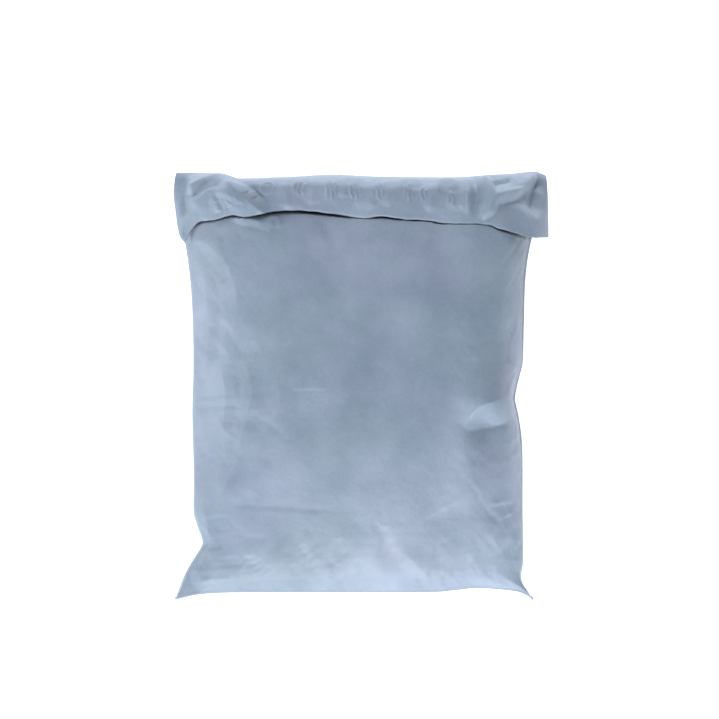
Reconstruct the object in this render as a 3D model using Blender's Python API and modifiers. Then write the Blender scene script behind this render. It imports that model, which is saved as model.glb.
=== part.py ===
"""A courier mailing bag of polythene film, filled and closed, lying on its back.

The bag is one sheet of film, folded at the bottom and welded down both sides. Its back runs on
past the mouth as a flap, which folds over the mouth at a crease and sticks to the front with a
band of adhesive.

Metres. +Z is up, out of the bag's front. +Y points to the flap, and +X to the right of a person
who looks at the front with the flap at the top. The origin is the middle of the footprint, on the
surface that the bag lies on.
"""

import math
from bisect import bisect_left

import bmesh
import bpy
from mathutils import Vector

# Driving dimensions
WIDTH = 0.254  # across the flap, whose ends keep the bag's flat width
LENGTH = 0.290  # from the bottom corners to the crease
HEIGHT = 0.0565  # from the table to the top of the front
CREASE_HEIGHT = 0.0165

FILM = 0.0006  # one film, thicker than the real one so that it is a sound solid
GAP = 0.0003  # between pieces that touch on the real bag
SEAM_GAP = 0.0005  # between the panels, the welds and the fold
WELD_WIDTH = 0.0025
WELD_THICKNESS = 0.0010
FOLD_WIDTH = 0.0030
CREASE_RADIUS = 0.0007
CREASE_LENGTH = 0.2440
ADHESIVE_THICKNESS = 0.0004
ADHESIVE_GAP = 0.0005  # to the flap's curved inner face
ADHESIVE_NEAR = 0.56  # near and far sides of the band, as shares of the flap from its crease
ADHESIVE_FAR = 0.92
ADHESIVE_REACH = 0.86  # share of the flap's width
BACK_FLAT_REACH = 0.62  # share of the half-width over which the back lies flat

BOTTOM_Y = -LENGTH / 2
CREASE_Y = LENGTH / 2 - 0.0015
FLAP_FOOT = CREASE_HEIGHT + CREASE_RADIUS + GAP + FILM
PANEL_START_Y = BOTTOM_Y + FOLD_WIDTH + SEAM_GAP
MOUTH_EDGE_Y = 0.1400  # where both panels end beside the welds
BOTTOM_MIDDLE = Vector((0, -0.1405, 0.0100))
PANEL_ROWS = 36  # of faces between the bottom fold and the mouth, and so along the welds beside it
PANEL_COLUMNS = 28

# Outer edges of the side welds, from a bottom corner to the crease
LEFT_EDGE = (
    (-0.1265, BOTTOM_Y, 0.0055),
    (-0.1170, -0.1235, 0.0085),
    (-0.1085, -0.1060, 0.0120),
    (-0.1138, -0.0840, 0.0130),
    (-0.1135, -0.0570, 0.0135),
    (-0.1150, -0.0095, 0.0140),
    (-0.1145, 0.0260, 0.0145),
    (-0.1160, 0.0720, 0.0150),
    (-0.1185, 0.0960, 0.0155),
    (-0.1235, 0.1250, 0.0160),
    (-0.1250, 0.1430, CREASE_HEIGHT),
)
RIGHT_EDGE = (
    (0.1160, BOTTOM_Y, 0.0055),
    (0.1100, -0.1330, 0.0085),
    (0.1110, -0.1200, 0.0110),
    (0.1098, -0.0775, 0.0130),
    (0.1095, -0.0310, 0.0138),
    (0.1060, -0.0095, 0.0140),
    (0.1085, 0.0090, 0.0143),
    (0.1112, 0.0340, 0.0147),
    (0.1118, 0.0720, 0.0150),
    (0.1150, 0.0960, 0.0155),
    (0.1225, 0.1250, 0.0160),
    (0.1250, 0.1430, CREASE_HEIGHT),
)

# Outer profiles down the middle of the bag, from the bottom fold
FRONT_PROFILE = (
    (0, -0.1370, 0.0112),
    (0, -0.1250, 0.0230),
    (0, -0.1000, 0.0335),
    (0, -0.0600, 0.0440),
    (0, 0.0000, 0.0530),
    (0, 0.0500, HEIGHT),
    (0, 0.0850, 0.0555),
    (0, 0.1100, 0.0485),
    (0, 0.1240, 0.0425),
    (0, 0.1320, 0.0370),
    (0, 0.1352, 0.0320),
)
# It runs just below the table, where the back is flattened
BACK_PROFILE = (
    (0, -0.1370, 0.0086),
    (0, -0.1300, 0.0030),
    (0, -0.1160, -0.0010),
    (0, -0.0600, -0.0010),
    (0, 0.0600, -0.0010),
    (0, 0.1220, -0.0010),
    (0, 0.1350, 0.0045),
    (0, 0.1410, 0.0108),
    (0, 0.1427, 0.0150),
)

# Outer face of the flap, from the crease to the free edge
FLAP_PROFILE = (
    (0, CREASE_Y + FILM, FLAP_FOOT),
    (0, 0.1446, 0.0250),
    (0, 0.1430, 0.0330),
    (0, 0.1365, 0.0412),
    (0, 0.1255, 0.0472),
    (0, 0.1125, 0.0512),
)
FLAP_LEFT_EDGE = (
    (-0.1250, CREASE_Y + FILM, FLAP_FOOT),
    (-WIDTH / 2, 0.1290, 0.0205),
    (-0.1235, 0.1100, 0.0225),
    (-0.1175, 0.0955, 0.0225),
)
FLAP_RIGHT_EDGE = (
    (0.1250, CREASE_Y + FILM, FLAP_FOOT),
    (WIDTH / 2, 0.1270, 0.0210),
    (0.1268, 0.1140, 0.0225),
    (0.1262, 0.1010, 0.0230),
)


class SmoothLine:
    """A Catmull-Rom curve through points, read by its share of length, from 0 to 1."""

    STEPS = 24  # between two points

    def __init__(self, points, shift=(0, 0, 0)):
        knots = [Vector(point) + Vector(shift) for point in points]
        knots = [2 * knots[0] - knots[1], *knots, 2 * knots[-1] - knots[-2]]
        self.points = [knots[1]]
        for i in range(1, len(knots) - 2):
            for step in range(1, self.STEPS + 1):
                self.points.append(self.between(*knots[i - 1 : i + 3], step / self.STEPS))
        self.walked = [0.0]
        for start, end in zip(self.points, self.points[1:]):
            self.walked.append(self.walked[-1] + (end - start).length)

    @staticmethod
    def between(before, start, end, after, t):
        slope_in = (end - before) / 2
        slope_out = (after - start) / 2
        bend = 3 * (end - start) - 2 * slope_in - slope_out
        twist = 2 * (start - end) + slope_in + slope_out
        return start + t * slope_in + t**2 * bend + t**3 * twist

    def at(self, share):
        target = share * self.walked[-1]
        i = min(max(bisect_left(self.walked, target), 1), len(self.points) - 1)
        part_way = (target - self.walked[i - 1]) / (self.walked[i] - self.walked[i - 1])
        return self.points[i - 1].lerp(self.points[i], part_way)

    def share_at_y(self, y):
        """The share at which a line that climbs in Y reaches y."""
        i = next(i for i, point in enumerate(self.points) if i and point.y >= y)
        start, end = self.points[i - 1 : i + 1]
        part_way = (y - start.y) / (end.y - start.y)
        return (self.walked[i - 1] + part_way * (end - start).length) / self.walked[-1]


def front_swell(u):
    """How far the front stands out of its edges at u, from -1 at the left edge to 1."""
    return (1 - min(abs(u), 1) ** 3) ** 0.75


def back_swell(u):
    outward = max(0, (min(abs(u), 1) - BACK_FLAT_REACH) / (1 - BACK_FLAT_REACH))
    return (1 - outward**2.2) ** 0.8


def flap_swell(u):
    """Fuller than the front, so that the flap stays clear of it."""
    return (1 - min(abs(u), 1) ** 4) ** 0.8


def spread(across):
    """Brings evenly spaced points closer together near the edges, where the film is steep."""
    return math.sin(across * math.pi / 2)


def crossing(across, left, right, middle, swell):
    """A point on a line from left to right that swells to the middle's height and place in Y."""
    u = spread(across)
    edge = left.lerp(right, (u + 1) / 2)
    reach = Vector((0, middle.y - edge.y, middle.z - edge.z))
    return edge + reach * swell(u)


def flap_point(across, along):
    """A point on the flap's outer face, where along runs from 0 at the crease to 1."""
    sides = flap_left.at(along), flap_right.at(along)
    return crossing(across, *sides, flap_middle.at(along), flap_swell)


def flap_inward(across, along):
    """The direction from the flap's outer face to the bag."""
    step = 0.01
    run = flap_point(across + step, along) - flap_point(across - step, along)
    climb = flap_point(across, along + step) - flap_point(across, along - step)
    return run.cross(climb).normalized()


def material(name, colour, roughness):
    made = bpy.data.materials.new(name)
    made.use_nodes = True
    shader = made.node_tree.nodes["Principled BSDF"]
    shader.inputs["Base Color"].default_value = (*colour, 1)
    shader.inputs["Roughness"].default_value = roughness
    shader.inputs["Metallic"].default_value = 0
    return made


def sheet(name, place, segments, thickness, side, look, origin=(0, 0, 0)):
    """A film whose one face is place(across, along), with across -1 to 1 and along 0 to 1.

    Its thickness lies on one side of that face: 1 for its normal's side, -1 for the other, and 0
    for half on each. The object's origin is put at origin, and its shape stays where it is."""
    shape = bmesh.new()
    bmesh.ops.create_grid(shape, x_segments=segments[0], y_segments=segments[1], size=1)
    for vertex in shape.verts:
        vertex.co = place(vertex.co.x, (vertex.co.y + 1) / 2) - Vector(origin)
    mesh = bpy.data.meshes.new(name)
    shape.to_mesh(mesh)
    shape.free()
    mesh.shade_smooth()
    mesh.materials.append(look)
    made = bpy.data.objects.new(name, mesh)
    made.location = origin
    parts.objects.link(made)
    film = made.modifiers.new("Film", "SOLIDIFY")
    film.thickness = thickness
    film.offset = side
    film.use_even_offset = True
    return made


def beside_panels(line, along):
    """A point on a side edge, where along runs over the panels' length from 0 to 1."""
    start = line.share_at_y(PANEL_START_Y)
    end = line.share_at_y(MOUTH_EDGE_Y)
    return line.at(min(max(start + (end - start) * along, 0), 1))


def panel(name, profile, lift, swell, side, look):
    """A panel between the welds, which stands off the surface that spans the bag's seams.

    lift is how far its outer face stands off that surface along the welds."""
    inset = WELD_WIDTH + SEAM_GAP
    left = SmoothLine(LEFT_EDGE, (inset, 0, lift))
    right = SmoothLine(RIGHT_EDGE, (-inset, 0, lift))
    middle = SmoothLine(profile)

    def place(across, along):
        sides = beside_panels(left, along), beside_panels(right, along)
        face = middle.at(along)
        seam_height = BOTTOM_MIDDLE.z + (CREASE_HEIGHT - BOTTOM_MIDDLE.z) * along
        point = crossing(across, *sides, Vector((0, face.y, seam_height)), front_swell)
        point.z += (face.z - seam_height) * swell(spread(across))
        point.z = max(point.z, 0)  # flat on the table
        return point

    return sheet(name, place, (PANEL_COLUMNS, PANEL_ROWS), FILM, side, look)


def side_weld(name, edge, inward, look):
    """The welded strip inside a side edge. inward is 1 on the left and -1 on the right.

    Its rows lie beside the panels' rows, with one more at each end."""
    line = SmoothLine(edge)
    rows = PANEL_ROWS + 2

    def place(across, along):
        beside = (along * rows - 1) / PANEL_ROWS
        point = line.at(round(along)) if along in (0, 1) else beside_panels(line, beside)
        return point + Vector(((inward + across) / 2 * WELD_WIDTH, 0, 0))

    return sheet(name, place, (1, rows), WELD_THICKNESS, 0, look)


def bottom_fold(look):
    inset = WELD_WIDTH + SEAM_GAP
    left = SmoothLine(LEFT_EDGE, (inset, 0, 0))
    right = SmoothLine(RIGHT_EDGE, (-inset, 0, 0))

    def place(across, along):
        in_y = FOLD_WIDTH * along
        sides = [line.at(line.share_at_y(BOTTOM_Y + in_y)) for line in (left, right)]
        middle = BOTTOM_MIDDLE + Vector((0, in_y, 0))
        return crossing(across, *sides, middle, front_swell)

    return sheet("bottom_fold", place, (PANEL_COLUMNS, 2), WELD_THICKNESS, 0, look)


def flap_crease(look):
    """The rolled film that the flap turns on."""
    bpy.ops.mesh.primitive_cylinder_add(
        vertices=16,
        radius=CREASE_RADIUS,
        depth=CREASE_LENGTH,
        location=crease_middle,
        rotation=(0, math.pi / 2, 0),
    )
    rod = bpy.context.object
    rod.name = "flap_crease"
    rod.data.shade_smooth()
    rod.data.set_sharp_from_angle(angle=math.radians(40))
    rod.data.materials.append(look)
    for collection in list(rod.users_collection):
        collection.objects.unlink(rod)
    parts.objects.link(rod)
    return rod


def closure_flap(look):
    return sheet("closure_flap", flap_point, (30, 16), FILM, 1, look, crease_middle)


def adhesive_strip(look):
    """The band on the flap's inner face."""

    def place(across, along):
        across *= ADHESIVE_REACH
        along = ADHESIVE_NEAR + (ADHESIVE_FAR - ADHESIVE_NEAR) * along
        inward = flap_inward(across, along)
        return flap_point(across, along) + inward * (FILM + ADHESIVE_GAP)

    return sheet("adhesive_strip", place, (24, 5), ADHESIVE_THICKNESS, 1, look, crease_middle)


for old in list(bpy.data.objects):
    bpy.data.objects.remove(old)

parts = bpy.data.collections.new("mail_sack")
bpy.context.scene.collection.children.link(parts)

crease_middle = Vector((0, CREASE_Y, CREASE_HEIGHT))
flap_left = SmoothLine(FLAP_LEFT_EDGE)
flap_right = SmoothLine(FLAP_RIGHT_EDGE)
flap_middle = SmoothLine(FLAP_PROFILE)

grey_film = material("grey_film", (0.36, 0.44, 0.55), 0.42)
pale_film = material("pale_film", (0.46, 0.53, 0.64), 0.40)
weld = material("weld", (0.40, 0.47, 0.58), 0.35)
glue = material("adhesive", (0.80, 0.80, 0.76), 0.25)

lift = FILM + GAP / 2
panel("front_panel", FRONT_PROFILE, lift, front_swell, -1, grey_film)
panel("back_panel", BACK_PROFILE, -lift, back_swell, 1, grey_film)
side_weld("left_side_weld", LEFT_EDGE, 1, weld)
side_weld("right_side_weld", RIGHT_EDGE, -1, weld)
bottom_fold(weld)
flap_crease(weld)

flap_hinge = bpy.data.objects.new("flap_hinge", None)
flap_hinge.location = crease_middle
parts.objects.link(flap_hinge)
for piece in (closure_flap(pale_film), adhesive_strip(glue)):
    piece.parent = flap_hinge
    piece.location = (0, 0, 0)
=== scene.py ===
"""How the filled mailing bag looks: thin satin film that bulges, puckers at its seams and creases.

Each film is a fine grid in the space of its CAD node. It starts as a smooth swell between its
seams. The front is let go as cloth, for its small waves, and the large folds are pressed in after
that. Lengths are in millimetres up to the moment a mesh is made.
"""

import math

import bpy
import numpy as np
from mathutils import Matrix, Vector


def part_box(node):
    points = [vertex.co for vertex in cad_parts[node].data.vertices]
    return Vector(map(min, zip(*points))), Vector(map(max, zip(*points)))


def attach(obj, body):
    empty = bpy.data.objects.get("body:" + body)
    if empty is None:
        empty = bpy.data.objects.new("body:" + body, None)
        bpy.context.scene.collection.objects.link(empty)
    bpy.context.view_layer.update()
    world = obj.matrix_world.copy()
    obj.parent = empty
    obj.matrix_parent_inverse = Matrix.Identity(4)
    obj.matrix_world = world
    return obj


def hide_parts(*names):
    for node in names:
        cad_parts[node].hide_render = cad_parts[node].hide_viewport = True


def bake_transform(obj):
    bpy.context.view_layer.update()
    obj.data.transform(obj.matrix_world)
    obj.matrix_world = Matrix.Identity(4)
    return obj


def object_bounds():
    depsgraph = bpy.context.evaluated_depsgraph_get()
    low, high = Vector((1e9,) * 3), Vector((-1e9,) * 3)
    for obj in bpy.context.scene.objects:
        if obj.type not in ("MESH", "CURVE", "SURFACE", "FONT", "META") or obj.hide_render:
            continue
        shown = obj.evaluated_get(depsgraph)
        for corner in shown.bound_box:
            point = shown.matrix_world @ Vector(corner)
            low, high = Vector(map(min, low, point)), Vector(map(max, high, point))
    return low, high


MM = 0.001
FILM = 0.12  # how thick the film is drawn

SHARP = math.radians(60)  # film that bends more than this between two faces has an edge there
CURVE_STEPS = 24  # points that a curve is drawn with from one of its knots to the next
SPLINE_GAIN = 1.8  # makes up for the smoothing that takes random values down

CREASE_POINTS = 60  # along the path of a crease
CREST = 0.3  # how sharply film bends over a crease
CREASE_LEAD = 0.02  # share of its path by which a crease begins before it, and ends after it
END_WIDTH = 0.35  # width of a crease at its ends, as a share of its full width

# The cloth that gives the front film its small waves.
CLOTH_ROWS, CLOTH_COLUMNS = 76, 68
CLOTH_FRAMES = 20
CLOTH_BLURS = 14  # how often the settled shape is blurred to tell its swell from its waves
WAVES_KEPT = 0.55

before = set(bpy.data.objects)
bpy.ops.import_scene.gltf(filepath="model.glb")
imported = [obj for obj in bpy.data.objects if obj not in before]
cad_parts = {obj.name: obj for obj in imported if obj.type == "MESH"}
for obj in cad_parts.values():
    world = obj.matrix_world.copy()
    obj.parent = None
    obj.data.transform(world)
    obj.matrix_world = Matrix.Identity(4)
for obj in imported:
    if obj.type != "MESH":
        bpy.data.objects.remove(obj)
cad_low, cad_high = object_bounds()

# ---------------------------------------------------------------- lines and surfaces


def smooth(points, count):
    """count points spaced evenly by length along a Catmull-Rom curve through points."""
    knots = np.array(points, float)
    knots = np.vstack([2 * knots[0] - knots[1], knots, 2 * knots[-1] - knots[-2]])
    t = np.linspace(0, 1, CURVE_STEPS, endpoint=False)[:, None]
    pieces = []
    for a, b, c, d in zip(knots, knots[1:], knots[2:], knots[3:]):
        slope_in, slope_out = (c - a) / 2, (d - b) / 2
        bend = 3 * (c - b) - 2 * slope_in - slope_out
        twist = 2 * (b - c) + slope_in + slope_out
        pieces.append(b + t * slope_in + t**2 * bend + t**3 * twist)
    dense = np.vstack([*pieces, knots[-2:-1]])
    walked = np.concatenate([[0], np.cumsum(np.linalg.norm(np.diff(dense, axis=0), axis=1))])
    at = np.linspace(0, walked[-1], count)
    return np.stack([np.interp(at, walked, dense[:, k]) for k in range(dense.shape[1])], axis=1)


def swollen(left, right, middle, u, swell):
    """Rows of points from left to right that swell to middle, as an array (rows, columns, 3)."""
    share = (u[None, :, None] + 1) / 2
    edge = left[:, None, :] * (1 - share) + right[:, None, :] * share
    reach = middle[:, None, :] - edge
    reach[..., 0] = 0
    v = np.linspace(0, 1, len(left))[:, None]
    return edge + reach * swell(u[None, :], v)[..., None]


def ramp(x, low, high):
    """0 below low, 1 above high, smooth between."""
    t = np.clip((x - low) / (high - low), 0, 1)
    return t * t * (3 - 2 * t)


def noise(shape, cells, seed):
    """Smooth noise from -1 to 1 over a grid, with about that many cells along each side."""
    random = np.random.default_rng(seed)
    coarse = random.uniform(-1, 1, (cells[0] + 3, cells[1] + 3))
    rows = np.linspace(0, cells[0], shape[0])
    columns = np.linspace(0, cells[1], shape[1])
    made = coarse
    for axis, at in ((0, rows), (1, columns)):
        whole = np.floor(at).astype(int)
        t = at - whole
        weights = [(1 - t) ** 3 / 6, (3 * t**3 - 6 * t**2 + 4) / 6]
        weights += [(-3 * t**3 + 3 * t**2 + 3 * t + 1) / 6, t**3 / 6]
        whole = np.minimum(whole, coarse.shape[axis] - 4)
        shape_of_weight = (-1, 1) if axis == 0 else (1, -1)
        made = sum(
            np.take(made, whole + k, axis=axis) * w.reshape(shape_of_weight)
            for k, w in enumerate(weights)
        )
    return made * SPLINE_GAIN


def crease(flat, path, height, left, right, power=1.5, ends=(0.25, 0.25)):
    """How much a crease along path raises each point, all of them seen from above.

    It is highest on the path, and falls to nothing at left and right of it as one walks along. A
    power of 1 makes flat facets, and more makes them hollow towards their feet. ends are the
    shares of the path over which the crease grows to its full height and width, and shrinks."""
    path = smooth(path, CREASE_POINTS)
    starts, steps = path[:-1], np.diff(path, axis=0)
    reach = max(left, right)
    inside = (flat >= path.min(0) - reach) & (flat <= path.max(0) + reach)
    near = np.nonzero(inside.all(1))[0]
    to = flat[near, None, :] - starts[None]
    along = np.clip((to * steps).sum(2) / (steps**2).sum(1), 0, 1)
    distance = np.linalg.norm(to - along[..., None] * steps, axis=2)
    nearest = distance.argmin(1)
    pick = np.arange(len(near)), nearest
    side = steps[nearest, 0] * to[pick][:, 1] - steps[nearest, 1] * to[pick][:, 0]
    share = (nearest + along[pick]) / len(steps)
    size = ramp(share, -CREASE_LEAD, ends[0]) * ramp(1 - share, -CREASE_LEAD, ends[1])
    width = np.where(side > 0, left, right) * (END_WIDTH + (1 - END_WIDTH) * size)
    away = np.sqrt(distance[pick] ** 2 + CREST**2) - CREST
    made = np.zeros(len(flat))
    made[near] = height * size * np.clip(1 - away / width, 0, 1) ** power
    return made


def creased(points, creases, up):
    """The points, each moved along its own up by the creases that reach it."""
    flat = points[..., :2].reshape(-1, 2)
    rise = sum(crease(flat, *shape) for shape in creases)
    return points + up * rise.reshape(points.shape[:-1])[..., None]


def sideways(points, reach):
    """0 on the side edges of a panel, growing to 1 at reach inside them."""
    x = points[..., 0]
    return ramp(np.minimum(x - x[:, :1], x[:, -1:] - x), 0, reach)


def loose(points, reach, foot):
    """How free each point of a panel is to move: 0 on its side edges and its lowest row, where it
    is welded, and 1 from reach inside the sides and foot above the lowest row."""
    return sideways(points, reach) * ramp(points[..., 1] - points[:1, :, 1], 0, foot)


def quads(index):
    """The faces of a grid, given the numbers of its points."""
    corners = [index[:-1, :-1], index[:-1, 1:], index[1:, 1:], index[1:, :-1]]
    return np.stack(corners, axis=-1).reshape(-1, 4)


def blurred(values, times):
    """A grid of vectors, each averaged with its neighbours, so many times over."""
    rows, columns = values.shape[:2]
    for _ in range(times):
        padded = np.pad(values, ((1, 1), (1, 1), (0, 0)), mode="edge")
        shifted = (padded[i : i + rows, j : j + columns] for i in range(3) for j in range(3))
        values = sum(shifted) / 9
    return values


def filled_in(values, at, count, axis):
    """Values known at some places along an axis of a grid, interpolated to all count places."""
    return np.apply_along_axis(lambda line: np.interp(np.arange(count), at, line), axis, values)


def settled(points, slack, most):
    """The panel let go: a coarse copy of its grid, larger than its welded edges by that share, is
    run as cloth with air inside it. The panel takes on the waves that the copy settles into, each
    of its points moved by no more than most."""
    rows, columns = points.shape[:2]
    at_rows = np.unique(np.linspace(0, rows - 1, CLOTH_ROWS).round().astype(int))
    at_columns = np.unique(np.linspace(0, columns - 1, CLOTH_COLUMNS).round().astype(int))
    coarse = points[np.ix_(at_rows, at_columns)]
    index = np.arange(coarse[..., 0].size).reshape(coarse.shape[:2])
    mesh = bpy.data.meshes.new("slack_film")
    mesh.from_pydata((coarse.reshape(-1, 3) * MM).tolist(), [], quads(index).tolist())
    copy = bpy.data.objects.new("slack_film", mesh)
    bpy.context.scene.collection.objects.link(copy)
    held = copy.vertex_groups.new(name="held")
    rim = np.concatenate([index[0], index[-1], index[:, 0], index[:, -1]])
    held.add(np.unique(rim).tolist(), 1.0, "REPLACE")

    cloth = copy.modifiers.new("cloth", "CLOTH")
    cloth.point_cache.frame_end = CLOTH_FRAMES
    settings = cloth.settings
    settings.quality = 6
    settings.mass = 0.05
    settings.tension_stiffness = settings.compression_stiffness = 20
    settings.bending_stiffness = 0.05
    settings.use_pressure = True
    settings.uniform_pressure_force = 4
    settings.shrink_min = -slack
    settings.vertex_group_mass = held.name
    settings.effector_weights.gravity = 0
    for moment in range(1, CLOTH_FRAMES + 1):
        bpy.context.scene.frame_set(moment)
    evaluated = copy.evaluated_get(bpy.context.evaluated_depsgraph_get())
    after = np.empty(index.size * 3, np.float32)
    evaluated.data.vertices.foreach_get("co", after)
    bpy.data.objects.remove(copy)
    bpy.data.meshes.remove(mesh)
    bpy.context.scene.frame_set(1)

    # Only the waves are kept: the swell itself is already in the grid.
    moved = after.reshape(coarse.shape) / MM - coarse
    waves = (moved - blurred(moved, CLOTH_BLURS)) * WAVES_KEPT
    size = np.linalg.norm(waves, axis=2, keepdims=True)
    waves *= np.minimum(1, most / np.maximum(size, most))
    waves = filled_in(waves, at_columns, columns, 1)
    return points + filled_in(waves, at_rows, rows, 0)


def outward(points):
    """The unit normals of a grid of points whose columns run along X, on its upper side."""
    along_rows, along_columns = np.gradient(points, axis=0), np.gradient(points, axis=1)
    made = np.cross(along_columns, along_rows)
    return made / np.linalg.norm(made, axis=2, keepdims=True)


def film(name, points, look, lining=None, thickness=FILM, flip=False):
    """A thin closed sheet through a grid of points, whose look is on its upper side, or on the
    lower one where flip is set. The lining is on its other side."""
    sign = -1 if flip else 1
    inner = points - sign * outward(points) * thickness
    under = points[..., 0].size
    index = np.arange(under).reshape(points.shape[:2])
    sheet = quads(index)
    rim = np.concatenate([index[0, :], index[1:, -1], index[-1, -2::-1], index[-2:0:-1, 0]])
    step = np.roll(rim, -1)
    faces = [sheet, sheet[:, ::-1] + under, np.stack([step, rim, rim + under, step + under], -1)]
    side = np.repeat([0, 1, 0], [len(part) for part in faces])
    faces = np.concatenate(faces)
    if flip:
        faces = faces[:, ::-1]
    mesh = bpy.data.meshes.new(name)
    mesh.vertices.add(2 * under)
    everywhere = np.concatenate([points.reshape(-1), inner.reshape(-1)]) * MM
    mesh.vertices.foreach_set("co", everywhere.astype(np.float32))
    mesh.loops.add(faces.size)
    mesh.loops.foreach_set("vertex_index", faces.reshape(-1).astype(np.int32))
    mesh.polygons.add(len(faces))
    mesh.polygons.foreach_set("loop_start", np.arange(0, faces.size, 4, dtype=np.int32))
    mesh.materials.append(look)
    mesh.materials.append(lining or look)
    mesh.polygons.foreach_set("material_index", side.astype(np.int32))
    mesh.update(calc_edges=True)
    mesh.validate()
    mesh.shade_smooth()
    mesh.set_sharp_from_angle(angle=SHARP)
    made = bpy.data.objects.new(name, mesh)
    bpy.context.scene.collection.objects.link(made)
    return made


# ---------------------------------------------------------------- materials

GREENISH = (0.975, 1.0, 0.99)  # the two ends of the film's hue, as factors on its colour
LAVENDER = (1.035, 0.995, 1.03)
CLOUD, SPECKLE, DRIFT = 28, 520, 17  # cells in a metre of the film's three patterns
GRAIN = ((1400, 0.00003), (400, 0.0001), (110, 0.0002))  # cells in a metre, and height in metres


def node(tree, kind, values=None, **settings):
    """A new node with those values on its inputs, which go by name or by number. A Map Range has
    its two ends before as 1 and 2, and after as 3 and 4. A Mix of colours has them as 6 and 7."""
    made = tree.nodes.new(kind)
    for name, value in settings.items():
        setattr(made, name, value)
    for name, value in (values or {}).items():
        made.inputs[name].default_value = value
    return made


def film_material(name, dark, light, roughness, bump=1.0, coat=0.12):
    """Satin film: a colour between dark and light with a soft cloud, a fine speckle and a drifting
    hue in it, and a surface that is slightly uneven at three sizes."""
    made = bpy.data.materials.new(name)
    made.use_nodes = True
    tree = made.node_tree
    link = tree.links.new
    shader = tree.nodes["Principled BSDF"]
    place = node(tree, "ShaderNodeTexCoord")
    cloud = node(tree, "ShaderNodeTexNoise", {"Scale": CLOUD, "Detail": 3, "Roughness": 0.5})
    speckle = node(tree, "ShaderNodeTexNoise", {"Scale": SPECKLE, "Detail": 2, "Roughness": 0.7})
    drift = node(tree, "ShaderNodeTexNoise", {"Scale": DRIFT, "Detail": 2, "Roughness": 0.6})
    for texture in (cloud, speckle, drift):
        link(place.outputs["Object"], texture.inputs["Vector"])
    broad = node(tree, "ShaderNodeMapRange", {1: 0.3, 2: 0.7, 3: 0.15, 4: 0.55})
    fine = node(tree, "ShaderNodeMapRange", {1: 0.3, 2: 0.7, 3: 0.09, 4: 0.21})
    mix = node(tree, "ShaderNodeMath", operation="ADD")
    colours = node(tree, "ShaderNodeMix", {6: (*dark, 1), 7: (*light, 1)}, data_type="RGBA")
    link(cloud.outputs["Fac"], broad.inputs[0])
    link(speckle.outputs["Fac"], fine.inputs[0])
    link(broad.outputs[0], mix.inputs[0])
    link(fine.outputs[0], mix.inputs[1])
    link(mix.outputs[0], colours.inputs[0])
    wide = node(tree, "ShaderNodeMapRange", {1: 0.38, 2: 0.62, 3: 0.0, 4: 1.0})
    hue = node(tree, "ShaderNodeMix", {6: (*GREENISH, 1), 7: (*LAVENDER, 1)}, data_type="RGBA")
    tint = node(tree, "ShaderNodeMix", {0: 1.0}, data_type="RGBA", blend_type="MULTIPLY")
    link(drift.outputs["Fac"], wide.inputs[0])
    link(wide.outputs[0], hue.inputs[0])
    link(colours.outputs[2], tint.inputs[6])
    link(hue.outputs[2], tint.inputs[7])
    link(tint.outputs[2], shader.inputs["Base Color"])
    gloss = node(
        tree, "ShaderNodeMapRange", {1: 0.3, 2: 0.7, 3: roughness - 0.05, 4: roughness + 0.06}
    )
    link(speckle.outputs["Fac"], gloss.inputs[0])
    link(gloss.outputs[0], shader.inputs["Roughness"])
    shader.inputs["Coat Weight"].default_value = coat
    shader.inputs["Coat Roughness"].default_value = 0.22
    shader.inputs["IOR"].default_value = 1.38
    normal = None
    for scale, height in GRAIN:
        grain = node(tree, "ShaderNodeTexNoise", {"Scale": scale, "Detail": 2, "Roughness": 0.5})
        link(place.outputs["Object"], grain.inputs["Vector"])
        step = node(tree, "ShaderNodeBump", {"Strength": 1, "Distance": height * bump})
        link(grain.outputs["Fac"], step.inputs["Height"])
        if normal:
            link(normal.outputs["Normal"], step.inputs["Normal"])
        normal = step
    link(normal.outputs["Normal"], shader.inputs["Normal"])
    return made


grey = film_material("grey_film", (0.150, 0.205, 0.280), (0.330, 0.405, 0.515), 0.50, coat=0.03)
# The seam strips' film is a lighter copy of the panels' colour: painted light, standing in for the
# light that the bulging bag keeps off the strips.
seam_film_painted_light = film_material("seam_film_with_painted_light", (0.33, 0.40, 0.50), (0.44, 0.52, 0.64), 0.45, bump=0.6)
black = film_material("black_lining", (0.012, 0.012, 0.013), (0.022, 0.022, 0.024), 0.38)

# ---------------------------------------------------------------- the bag's lines

WELD = 1.3  # width of the strips along the seams
WELD_DROP = 0.7  # how far their outer edges hang below their inner ones
LAP, LAP_DROP = 0.6, 0.25  # how far the bottom strip reaches in under the panels, and below them
MOUTH_Y = 140.0  # where the front film ends; the back film goes on a little to meet the flap
BOTTOM_Y = cad_low.y / MM
EAR_Y = BOTTOM_Y - 1.5  # the corners at the bottom reach a little past the middle
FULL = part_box("front_panel")[1].z / MM
CREASE = (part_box("flap_crease")[0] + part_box("flap_crease")[1]) / 2 / MM
FRONT_ROWS, FRONT_COLUMNS = 340, 300
BACK_ROWS, BACK_COLUMNS = 120, 110
FLAP_ROWS, FLAP_COLUMNS = 150, 420
DENSE = 600  # points along a seam's line, where it is drawn finely to be measured
BOTTOM_REACH = 14  # how far up a panel the shape of the bottom fold is still felt

# How full the front is towards each seam, and how much more at the pinch in the right one. v is the
# share of the way up the bag.
LEFT_FULLNESS, RIGHT_FULLNESS, PINCH_FULLNESS = 3.2, 8.5, 7
PINCH_V, PINCH_REACH = 0.45, 0.07
FLAT_SHARE = 0.62  # of the back, which lies on the table

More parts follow.
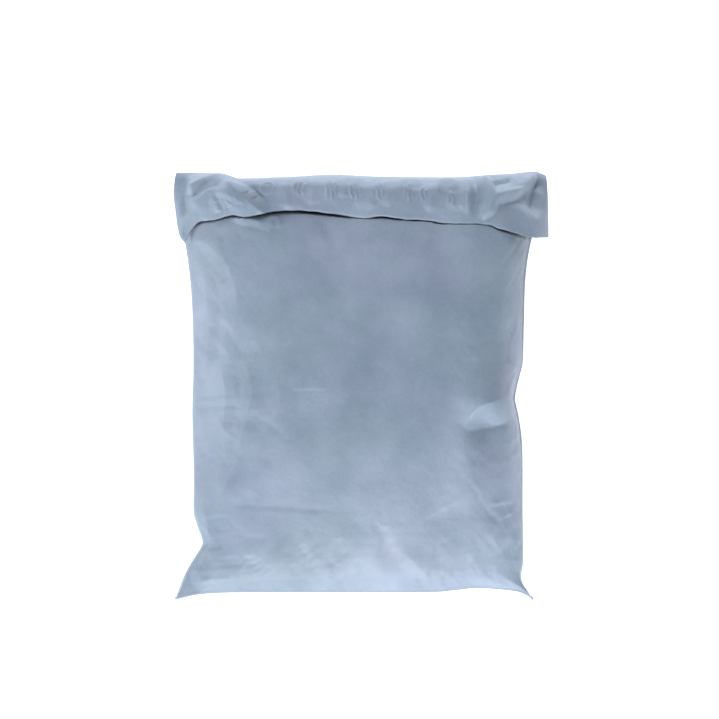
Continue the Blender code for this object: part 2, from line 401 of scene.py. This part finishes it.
left_seam = [
    (-127.5, EAR_Y, 4.5),
    (-120.6, -129.2, 7.5),
    (-114.3, -118.3, 9.5),
    (-109.6, -111.0, 11.0),
    (-108.0, -106.6, 12.0),
    (-109.4, -101.5, 12.3),
    (-112.4, -93.0, 12.7),
    (-114.2, -84.0, 13.0),
    (-113.9, -60.0, 13.4),
    (-114.9, -20.0, 14.0),
    (-114.2, 7.0, 14.3),
    (-114.3, 34.0, 14.6),
    (-115.7, 66.6, 15.0),
    (-119.0, 93.8, 15.5),
    (-124.0, 125.0, 16.0),
    (-125.0, CREASE.y - 1, CREASE.z),
]
right_seam = [
    (118.2, EAR_Y, 4.5),
    (114.6, -141.0, 7.0),
    (110.4, -134.5, 8.5),
    (109.5, -128.5, 9.7),
    (110.7, -118.3, 11.0),
    (110.2, -86.0, 12.8),
    (110.1, -50.0, 13.5),
    (109.4, -35.0, 13.7),
    (107.4, -21.0, 13.9),
    (105.6, -13.0, 14.0),
    (104.8, -8.5, 14.1),
    (106.3, 0.0, 14.2),
    (108.6, 9.0, 14.3),
    (110.3, 18.0, 14.5),
    (111.0, 45.0, 14.8),
    (111.8, 72.0, 15.0),
    (114.6, 93.0, 15.4),
    (120.0, 115.0, 15.9),
    (125.0, CREASE.y - 1, CREASE.z),
]
bottom_line = [(-127.5, EAR_Y, 4.5), (-105, -142.0, 8.6), (-60, -141.0, 9.8), (40, -141.0, 10)]
bottom_line += [(62, -139.8, 9.9), (78, -138.2, 9.6), (95, -139.2, 8.8), (109, -141.4, 7.6)]
bottom_line += [(118.2, EAR_Y, 4.5)]

front_middle = [
    (0, -138.2, 11.5),
    (0, -133.0, 17.6),
    (0, -126.0, 22.4),
    (0, -108.0, 29.8),
    (0, -81.0, 38.6),
    (0, -60.0, 44.6),
    (0, -30.0, 51.0),
    (0, 0.0, 54.8),
    (0, 45.0, FULL),
    (0, 85.0, FULL - 1.2),
    (0, 108.0, FULL - 3.0),
    (0, 118.0, 51.5),
    (0, 125.0, 46.5),
    (0, 132.0, 39.0),
    (0, 135.2, 33.0),
]
back_middle = [
    (0, -138.2, 9.6),
    (0, -130.0, 3.0),
    (0, -116.0, 0.0),
    (0, -60.0, 0.0),
    (0, 60.0, 0.0),
    (0, 122.0, 0.0),
    (0, 135.0, 4.5),
    (0, 140.6, 9.5),
]


def inset(line, distance, lift=0.0):
    """A seam's line moved in from the bag's edge along X."""
    return [(x + distance, y, z + lift) for x, y, z in line]


def panel_edges(start_y, end_y, count, lift):
    """Both side edges of a panel, at the inner edges of the welds."""
    made = []
    for line, inward in ((left_seam, WELD), (right_seam, -WELD)):
        dense = smooth(inset(line, inward, lift), DENSE)
        kept = dense[(dense[:, 1] >= start_y) & (dense[:, 1] <= end_y)]
        made.append(smooth(kept[::6], count))  # fewer knots keep the curve smooth
    return made


def onto_bottom(points, reach):
    """The panel with its lowest row moved onto the bottom fold, and the rows up to reach with it
    by less and less."""
    line = smooth(bottom_line, DENSE)
    x = points[0, :, 0]
    shift = np.zeros_like(points[0])
    shift[:, 1] = np.interp(x, line[:, 0], line[:, 1]) + WELD - points[0, :, 1]
    shift[:, 2] = np.interp(x, line[:, 0], line[:, 2]) - points[0, :, 2]
    fade = 1 - ramp(points[..., 1] - points[:1, :, 1], 0, reach)
    return points + shift[None] * fade[..., None]


def front_swell(u, v):
    """The share of its full height that the front swells to, at u from -1 on the left seam to 1 on
    the right one."""
    pinch = np.exp(-(((v - PINCH_V) / PINCH_REACH) ** 2))
    fullness = np.where(u > 0, RIGHT_FULLNESS + PINCH_FULLNESS * pinch, LEFT_FULLNESS)
    return (1 - np.abs(u) ** fullness) ** 0.75


def back_swell(u, v):
    """The back is flat on the table in its middle, and curls up to the seams outside FLAT_SHARE."""
    curled = np.clip((np.abs(u) - FLAT_SHARE) / (1 - FLAT_SHARE), 0, 1)
    return (1 - curled**2.2) ** 0.8


def spread(count):
    """Where the columns of a grid lie, from -1 to 1, closer together towards the seams."""
    even = np.linspace(-1, 1, count)
    return 0.45 * even + 0.55 * np.sin(even * math.pi / 2)


# The flap's free edge, seen from above, and how far the gap below it opens at places along X.
free_edge = [(-119, 96.5), (-115.6, 104.7), (-108.4, 110.2), (-97.9, 111.5), (-87, 114.0)]
free_edge += [(-76.4, 112.9), (-59.5, 115.9), (-44.4, 117.0), (-26, 115.6), (-8.8, 112.9)]
free_edge += [(1.4, 111.8), (15, 113.0), (29, 110.8), (43.5, 110.4), (56.2, 108.1)]
free_edge += [(83.6, 107.4), (92.5, 104.7), (114.6, 99.6), (127.0, 100.8)]
gap = [(-125, 0.2), (-98, 1.0), (-70, 0.9), (-62, 0.2), (-50, 1.8), (-30, 2.6), (-12, 2.0)]
gap += [(-4, 0.4), (2, 0.4), (8, 1.6), (24, 1.8), (30, 0.3), (36, 1.6), (54, 1.4), (62, 0.6)]
gap += [(110, 0.7), (122, 0.2)]


def along_x(line, x):
    """The y of a line of (x, y) points at each x."""
    dense = smooth(line, 300)
    return np.interp(x, dense[:, 0], dense[:, 1])


# Each crease has what crease() asks for: path, height, left, right, and then power and ends.
# The light comes from the bottom of the picture, so what faces down the bag is bright.
leaf_top = [(67, -27), (73, -19), (80, -12.6), (91, -8.6), (100, -8.6), (112, -12)]
leaf_foot = [(68, -30), (80, -28.2), (90, -26.6), (99, -22.6), (112, -15)]
dark_side = [(66, -20), (68, -34), (70, -48), (74, -60), (80, -70), (86, -84)]
front_creases = [
    # Under the left part of the flap.
    ([(-88, 113), (-74, 111.4), (-66, 109.4), (-57, 106.6)], 2.2, 7, 4.5, 1.0, (0.3, 0.1)),
    ([(-68, 110), (-62, 107.5), (-57.5, 105)], -0.6, 3, 3, 1.2),
    ([(-57, 114), (-54.5, 109), (-55.5, 105)], 0.8, 3, 3, 1.1),
    # Beside the left seam, from the flap down.
    ([(-115, 99), (-104, 96), (-93, 85)], 1.3, 10, 12, 1.3, (0.3, 0.4)),
    ([(-96.8, 104), (-94, 89), (-88.5, 80), (-87, 73), (-83, 64.6), (-82.6, 50)], 1.5, 24, 11, 1.2),
    ([(-108, 84), (-104, 62), (-103, 30), (-105.5, 0)], 1.7, 8, 6, 1.2),
    ([(-94, 12), (-91, -6), (-93, -28)], 1.1, 11, 12, 1.4),
    ([(-77, 16), (-73, -6), (-82, -42)], 1.2, 9, 9, 1.3),
    ([(-56, 6), (-54, -12), (-66, -36), (-74, -58)], 1.2, 13, 12, 1.4),
    ([(-48, -2.2), (-35, -0.8), (-20, -1.6)], 0.4, 8, 1.6, 1.5),
    ([(-99, -18), (-91, -30), (-80.5, -38), (-81, -47), (-92, -69), (-97, -88)], 1.9, 16, 17, 1.2),
    ([(-63, -47), (-68, -57), (-78, -76)], 0.8, 9, 12, 1.4),
    ([(-90, -80.0), (-60, -80.8), (-18, -83.5)], -0.35, 6, 3.5, 1.3),
    # The lower left corner, drawn together at the pinch in the seam.
    ([(-107.5, -82), (-104.4, -94), (-104.2, -107)], 0.9, 8, 4, 1.2, (0.5, 0.05)),
    ([(-106, -105), (-98, -101), (-86, -98)], 0.6, 8, 9, 1.3, (0.05, 0.7)),
    ([(-106, -108), (-100, -117), (-92, -126)], 0.6, 9, 7, 1.3, (0.05, 0.6)),
    ([(-111, -122), (-108.8, -132), (-101, -137)], 0.8, 6, 8, 1.2),
    # Out of sight below the right end of the flap.
    ([(123, 146), (121.5, 130), (117, 113)], -6.5, 8, 30, 1.2, (0.05, 0.5)),
    # Along the bottom fold.
    ([(-96, -136), (-67, -133), (-29, -130.6), (-13, -129.2), (-1, -132.6)], 0.5, 9, 4.5, 1.2),
    ([(2, -133.6), (18, -131), (34, -132.4), (50, -134)], 0.4, 8, 4, 1.2),
    ([(27, -110), (38, -121), (46, -129), (63, -133)], 0.6, 12, 7, 1.3),
    ([(72, -121), (80, -129), (86, -135)], 0.4, 9, 6, 1.3),
    # Beside the right seam, from the flap down.
    ([(111, 70), (106, 51.7), (99.5, 30), (97, 6)], -1.6, 9, 14, 1.4, (0.6, 0.2)),
    ([(95.5, 17), (100, 14.6), (105, 10)], 0.8, 5, 3, 1.3),
    ([(106, -3), (100, 4), (98, 14)], -0.4, 5, 8, 1.3, (0.1, 0.6)),
    # The leaf-shaped facet at the pinch in the right seam.
    (leaf_top, 7.0, 38, 17, 1.0, (0.55, 0.03)),
    (leaf_foot, -5.0, 17, 25, 1.1, (0.4, 0.03)),
    # The dark side of the bag below it.
    (dark_side, 1.9, 22, 50, 1.3, (0.55, 0.3)),
    ([(85, -79), (97, -77.6), (108, -77)], 0.8, 8, 2.5, 1.2),
    ([(92, -90), (98, -86.6), (105, -85.6)], 0.6, 5, 2.6, 1.2),
    ([(93, -88), (88.6, -101), (97, -112)], 1.0, 12, 12, 1.2),
    ([(106, -88), (101, -112), (109, -131)], -0.9, 7, 5, 1.1),
]

# Slack film gathers into short waves that run in from the seams: so many up the bag, and across it.
WAVES_UP, WAVES_ACROSS = 24, 20


def gathered(points, seed, height, reach):
    """How far waves that start at the four edges of a grid raise its points. They are highest at
    reach inside the edge, as a share of the grid's size."""
    rows, columns = points.shape[:2]
    made = np.zeros((rows, columns))
    for axis, waves in ((0, WAVES_UP), (1, WAVES_ACROSS)):
        count = rows if axis == 0 else columns
        for end in (0, 1):
            wave = noise((count, 2), (waves, 1), seed + 7 * axis + end)[:, 0]
            across = columns if axis == 0 else rows
            edge = np.linspace(0, 1, across) if end == 0 else np.linspace(1, 0, across)
            fade = (edge / reach) * np.exp(1 - edge / reach)
            made += np.outer(wave, fade) if axis == 0 else np.outer(fade, wave)
    return made * height


# ---------------------------------------------------------------- front and back

UP = np.array([0.0, 0.0, 1.0])
ABOVE_TABLE = 0.02  # so that the back doesn't share the table's plane

left, right = panel_edges(EAR_Y + WELD, MOUTH_Y, FRONT_ROWS, FILM)
front = swollen(left, right, smooth(front_middle, FRONT_ROWS), spread(FRONT_COLUMNS), front_swell)
front = onto_bottom(front, BOTTOM_REACH)
front = settled(front, slack=0.009, most=0.6)
swell = front
front = creased(front, front_creases, UP)
front[..., 2] += gathered(front, seed=3, height=0.5, reach=0.035)
front[..., 2] += 0.16 * noise(front.shape[:2], (36, 30), 5)
front[..., 2] += 0.05 * noise(front.shape[:2], (90, 80), 6)
front = swell + (front - swell) * loose(swell, reach=5, foot=3)[..., None]

# Under the flap the film lies lower, with a step at the flap's free edge: the dark slot.
below_flap = along_x(free_edge, front[..., 0]) - front[..., 1]
opening = along_x(gap, front[..., 0])
slot = 1 - ramp(below_flap, -0.6, 0.3 + 0.55 * opening)
front[..., 2] -= (1.0 + 1.8 * opening) * slot

front_film = film("front_film", front, grey, black)
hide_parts("front_panel")
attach(front_film, "bag")

left, right = panel_edges(EAR_Y + WELD, MOUTH_Y + 1, BACK_ROWS, -FILM)
back = swollen(left, right, smooth(back_middle, BACK_ROWS), spread(BACK_COLUMNS), back_swell)
back = onto_bottom(back, BOTTOM_REACH)
back[..., 2] = np.maximum(back[..., 2], ABOVE_TABLE)
back_film = film("back_film", back, grey, black, flip=True)
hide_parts("back_panel")
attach(back_film, "bag")

# ---------------------------------------------------------------- seams

STRIP_POINTS = 260


def strip(name, first, second, replaced):
    """A strip of two films fused into one, between two lines. Its look is on its upper side where
    its second line is on the right of the first as one walks along."""
    share = np.linspace(0, 1, 5)[None, :, None]
    points = first[:, None, :] * (1 - share) + second[:, None, :] * share
    points[..., 2] += FILM
    # The strip is drawn in the lighter seam film, whose extra lightness is painted light.
    made = film(name, points, seam_film_painted_light, thickness=2 * FILM)
    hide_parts(replaced)
    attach(made, "bag")


strip(
    "left_weld_strip",
    smooth(inset(left_seam, 0, -WELD_DROP), STRIP_POINTS),
    smooth(inset(left_seam, WELD), STRIP_POINTS),
    "left_side_weld",
)
strip(
    "right_weld_strip",
    smooth(inset(right_seam, -WELD), STRIP_POINTS),
    smooth(inset(right_seam, 0, -WELD_DROP), STRIP_POINTS),
    "right_side_weld",
)
# The bottom's line is walked from right to left, since its inner edge has to be on the right.
bottom = smooth(bottom_line[::-1], 240)
bottom_inner = bottom + np.array([0, WELD + LAP, -LAP_DROP])
bottom_outer = bottom - np.array([0, 0, WELD_DROP])
strip("bottom_fold_strip", bottom_outer, bottom_inner, "bottom_fold")

# ---------------------------------------------------------------- flap

KEPT_AT_SIDES = 0.15  # share of its height that a fold keeps on the flap's side edges

flap_middle = [
    (0, 140.6, 9.5),
    (0, 142.8, 14.0),
    (0, 143.6, 18.0),
    (0, 144.2, 27.0),
    (0, 143.6, 36.0),
    (0, 141.6, 43.5),
    (0, 138.6, 49.0),
    (0, 134.8, 53.0),
    (0, 130.0, 55.0),
    (0, 122.0, 55.2),
    (0, 112.0, 53.9),
]
flap_left = [
    (-122.8, 141.0, 15.9),
    (-124.0, 142.9, 15.9),
    (-125.2, 144.2, 17.6),
    (-126.4, 139.0, 19.8),
    (-127.0, 128.0, 20.8),
    (-125.0, 113.0, 22.4),
    (-123.0, 103.0, 22.6),
    (-119.0, 96.5, 22.5),
]
flap_right = [
    (122.8, 141.0, 15.9),
    (124.0, 142.9, 15.9),
    (125.2, 144.2, 17.6),
    (126.2, 139.0, 19.8),
    (126.8, 128.0, 21.0),
    (126.9, 116.0, 22.4),
    (127.0, 108.0, 22.8),
    (127.0, 100.8, 23.0),
]
# How far the folded top edge sags in from the line of the crease, at places along X.
sag = [(-127, -0.4), (-112, -1.0), (-97, -1.2), (-88, -1.0), (-81, 1.2), (-74, 2.7), (-42, 2.8)]
sag += [(-14, 1.6), (18, 3.0), (59, 3.2), (74, 2.6), (92, 0.4), (118, -1.8), (124, -0.4)]
sag += [(127, 1.0)]

flap_creases = [
    # The left end, from its edge inwards.
    ([(-120.5, 146), (-121, 130), (-119.6, 112)], -2.6, 8, 6, 1.1),
    ([(-120, 130.4), (-106, 136.5), (-90, 143)], 4.3, 10, 5, 1.0),
    ([(-115, 126), (-104, 134.5), (-94, 139)], -1.7, 3, 5, 1.1),
    ([(-112, 118), (-106, 128), (-96, 133)], 1.4, 8, 9, 1.4),
    ([(-101.5, 130.5), (-94, 129), (-87.7, 127.2), (-76, 121.5)], 1.2, 4, 3, 1.1),
    ([(-100, 127), (-96, 120), (-97, 115)], 0.9, 3, 4, 1.1),
    ([(-95, 139.5), (-79, 127), (-68, 118.5), (-60, 111)], 3.5, 8, 13, 1.1),
    ([(-88, 142), (-74, 133), (-62, 122)], -1.3, 4, 6, 1.2),
    ([(-78, 134), (-75.5, 128)], 0.9, 2.5, 3, 1.1),
    ([(-73, 130.4), (-70, 125)], 0.9, 2.5, 3, 1.1),
    # The middle, over the adhesive: the film hangs in soft lobes between the places it grips.
    ([(-54, 136), (-49, 127), (-50, 117)], 1.3, 8, 8, 1.3),
    ([(-35, 139), (-32, 130), (-34, 120)], 1.0, 7, 7, 1.4),
    ([(-13, 141), (-11, 133), (-13, 124)], 1.4, 6, 9, 1.2),
    ([(-12, 139.4), (-5, 140.4), (1, 135)], 1.2, 5, 5, 1.2),
    ([(-6, 121), (3, 123), (11, 119)], 1.0, 3, 6, 1.2),
    ([(15, 139), (18, 130), (17, 119)], 1.2, 8, 8, 1.3),
    ([(25, 128), (28, 136.4), (35, 138), (41, 133)], 1.6, 5, 6, 1.1),
    ([(45, 136), (46.5, 127), (45, 115)], 1.2, 7, 6, 1.3),
    ([(49, 125), (53, 136), (60, 137.6), (66, 130)], 1.9, 5, 7, 1.1),
    ([(56, 124), (62, 120), (69, 121)], 0.9, 4, 4, 1.2),
    # The pleat, and the broad facets right of it.
    ([(70, 143), (71.5, 130), (70, 114)], 1.7, 5, 7, 1.1),
    ([(75, 144), (77, 130), (74.6, 112)], -2.0, 5, 4, 1.0),
    ([(79.6, 144), (85, 133), (87.6, 123.8), (80, 110)], 3.8, 5, 9, 1.0),
    ([(86, 133.5), (93, 136), (99.4, 138), (100.4, 142)], -1.9, 2.5, 3, 1.0),
    ([(86, 125), (97, 129.2), (110, 134), (118, 146)], 2.4, 5, 8, 1.0),
    ([(88, 119.5), (99, 123), (110, 127), (117, 137)], -4.2, 6, 26, 1.0, (0.3, 0.3)),
    ([(121, 141), (121.5, 130), (119, 112)], -3.6, 6, 33, 1.25, (0.2, 0.4)),
    ([(121.6, 145), (120.5, 130), (121, 112)], -2.0, 6, 6, 1.1),
]


def flap_swell(u, v):
    """The flap is a little fuller on its right."""
    return (1 - np.abs(u) ** np.where(u > 0, 6.0, 4.0)) ** 0.8


edges = smooth(flap_left, FLAP_ROWS), smooth(flap_right, FLAP_ROWS)
flap = swollen(*edges, smooth(flap_middle, FLAP_ROWS), spread(FLAP_COLUMNS), flap_swell)
down = np.linspace(0, 1, FLAP_ROWS)[:, None]  # from the mouth, over the fold, to the free edge

# Its free edge gets its line, slightly ragged, and the fold above the mouth sags in.
flap_x = flap[-1, :, 0]
over = ramp(down, 0.35, 1)
torn = 0.3 * noise((FLAP_COLUMNS, 2), (70, 1), 31)[:, 0]
flap[..., 1] += over * (along_x(free_edge, flap_x) + torn - flap[-1, :, 1])
flap[..., 1] -= (1 - over) * along_x(sag, flap_x) * ramp(flap[..., 2], 9, 15)

# It starts where the back film ends.
joined = [np.interp(flap_x, back[-1, :, 0], back[-1, :, k]) - flap[0, :, k] for k in (1, 2)]
flap[..., 1:] += (1 - ramp(down, 0, 0.035))[..., None] * np.stack(joined, axis=-1)

# Its folds are raised square to the film, and only where it faces up, past the fold.
shown = ramp(flap[..., 2], 17.0, 24.0)[..., None]
up = -outward(flap)
up *= shown * ramp(up[..., 2], 0.1, 0.6)[..., None]
base = flap
flap = creased(flap, flap_creases, up)
height = KEPT_AT_SIDES + (1 - KEPT_AT_SIDES) * sideways(base, 5)
flap = base + (flap - base) * height[..., None]

# The film is crumpled all over, and most in a spot on its left.
crumple = 0.20 * noise(flap.shape[:2], (12, 44), 11)
crumple += 0.12 * noise(flap.shape[:2], (30, 110), 12)
spot = np.hypot((flap[..., 0] + 91) / 16, (flap[..., 1] - 122) / 10)
crumple += 0.22 * noise(flap.shape[:2], (70, 220), 13) * (1 - ramp(spot, 0.3, 1))
flap += up * crumple[..., None]

# The adhesive grips in groups of short upright ripples, and in a ring on their left. A group is
# given as (x, width, y, height).
RIPPLE_PITCH = 3.2
RING_X, RING_Y, RING_RADIUS, RING_WIDTH = -62, 132, 4.2, 0.8
ripples = [(-41, 10, 132, 10), (-20, 12, 131, 14), (-4, 11, 130, 12), (11.5, 8, 130, 12)]
ripples += [(32, 7, 129, 13), (40.5, 7, 128, 9), (60.5, 6, 125, 9), (69.5, 4, 126, 10)]
wander = 1.1 * noise(flap.shape[:2], (24, 60), 21)
for x, width, y, height in ripples:
    off = np.hypot((flap[..., 0] - x) / width, (flap[..., 1] - y) / height)
    wave = np.cos((flap[..., 0] - x + wander) * math.pi / RIPPLE_PITCH) ** 4
    flap += up * (1.1 * wave * (1 - ramp(off, 0.3, 0.62)))[..., None]
ring = np.hypot(flap[..., 0] - RING_X, (flap[..., 1] - RING_Y) * 1.1)
flap += up * (0.6 * np.exp(-(((ring - RING_RADIUS) / RING_WIDTH) ** 2)))[..., None]

# The free edge is turned down a little.
flap[..., 2] -= 0.35 * ramp(down, 0.975, 1)

flap_film = film("flap_film", flap, grey, black, flip=True)
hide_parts("closure_flap", "flap_crease")
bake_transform(flap_film)

# ---------------------------------------------------------------- adhesive

# A band of the flap's grid, short of its crumpled ends, lies against the flap's lower side.
BAND_ROWS, BAND_COLUMNS = slice(92, 136), slice(76, -92)
BAND_THICKNESS = 0.2
BELOW_FLAP = 0.35  # from the flap's upper side to the band's

glue = film_material("hot_melt", (0.34, 0.32, 0.26), (0.50, 0.47, 0.39), 0.18, bump=3.0, coat=0.4)
band = (flap + outward(flap) * BELOW_FLAP)[BAND_ROWS, BAND_COLUMNS]
adhesive = film("adhesive_band", band, glue, thickness=BAND_THICKNESS, flip=True)
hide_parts("adhesive_strip")
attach(adhesive, "flap")

# ---------------------------------------------------------------- floor, light and camera

SIGHT = Vector((-0.001, 0.018, 0.015))  # the point that the camera looks straight down at
CAMERA_HEIGHT = 1.6
FLOOR_Z = -0.0002
VIEW_WIDTH = 0.489  # seen at the height of the seams

scene = bpy.context.scene
scene.view_settings.view_transform = "Standard"  # so that the white floor stays white

bpy.ops.mesh.primitive_plane_add(size=8, location=(0, 0, FLOOR_Z))
floor = bpy.context.object
floor.name = "floor"
floor_look = bpy.data.materials.new("pale_floor")
floor_look.use_nodes = True
shader = floor_look.node_tree.nodes["Principled BSDF"]
shader.inputs["Base Color"].default_value = (0.9, 0.9, 0.9, 1)
shader.inputs["Roughness"].default_value = 0.9
shader.inputs["Specular IOR Level"].default_value = 0.1
shader.inputs["Emission Color"].default_value = (1, 1, 1, 1)
shader.inputs["Emission Strength"].default_value = 0.75  # the photo's ground is pure white
floor.data.materials.append(floor_look)

# The studio is brighter low down than overhead, and brighter on its left than on its right.
world = bpy.data.worlds.new("studio")
scene.world = world
world.use_nodes = True
tree = world.node_tree
backdrop = tree.nodes["Background"]
direction = node(tree, "ShaderNodeTexCoord")
split = node(tree, "ShaderNodeSeparateXYZ")
sky = node(tree, "ShaderNodeMapRange", {1: 0.0, 2: 1.0, 3: 0.56, 4: 0.16})
tree.links.new(direction.outputs["Generated"], split.inputs[0])
tree.links.new(split.outputs["Z"], sky.inputs[0])
leftward = node(tree, "ShaderNodeMapRange", {1: -1.0, 2: 1.0, 3: 1.4, 4: 0.2})
strength = node(tree, "ShaderNodeMath", operation="MULTIPLY")
tree.links.new(split.outputs["X"], leftward.inputs[0])
tree.links.new(sky.outputs[0], strength.inputs[0])
tree.links.new(leftward.outputs[0], strength.inputs[1])
tree.links.new(strength.outputs[0], backdrop.inputs["Strength"])
backdrop.inputs["Color"].default_value = (1, 1, 1, 1)


def softbox(name, azimuth, elevation, distance, size, power):
    """An area light that shines at the middle of the bag, from so many metres away. Azimuth 0 is
    at the bottom of the picture, and 90 at its right."""
    data = bpy.data.lights.new(name, "AREA")
    data.shape = "SQUARE"
    data.size = size
    data.energy = power
    made = bpy.data.objects.new(name, data)
    a, e = math.radians(azimuth), math.radians(elevation)
    bearing = Vector((math.sin(a) * math.cos(e), -math.cos(a) * math.cos(e), math.sin(e)))
    made.location = bearing * distance
    made.rotation_mode = "QUATERNION"
    made.rotation_quaternion = bearing.to_track_quat("Z", "Y")
    scene.collection.objects.link(made)


softbox("key", azimuth=-4, elevation=27, distance=2.2, size=0.9, power=54)
softbox("top", azimuth=172, elevation=17, distance=2.2, size=2.0, power=57)
softbox("left", azimuth=-86, elevation=10, distance=2.2, size=1.0, power=20)
softbox("right", azimuth=44, elevation=16, distance=0.5, size=0.25, power=0.36)

camera_data = bpy.data.cameras.new("camera")
camera_data.sensor_width = 36
camera_data.lens = camera_data.sensor_width * (CAMERA_HEIGHT - SIGHT.z) / VIEW_WIDTH
camera = bpy.data.objects.new("camera", camera_data)
camera.location = (SIGHT.x, SIGHT.y, CAMERA_HEIGHT)
scene.collection.objects.link(camera)
scene.camera = camera
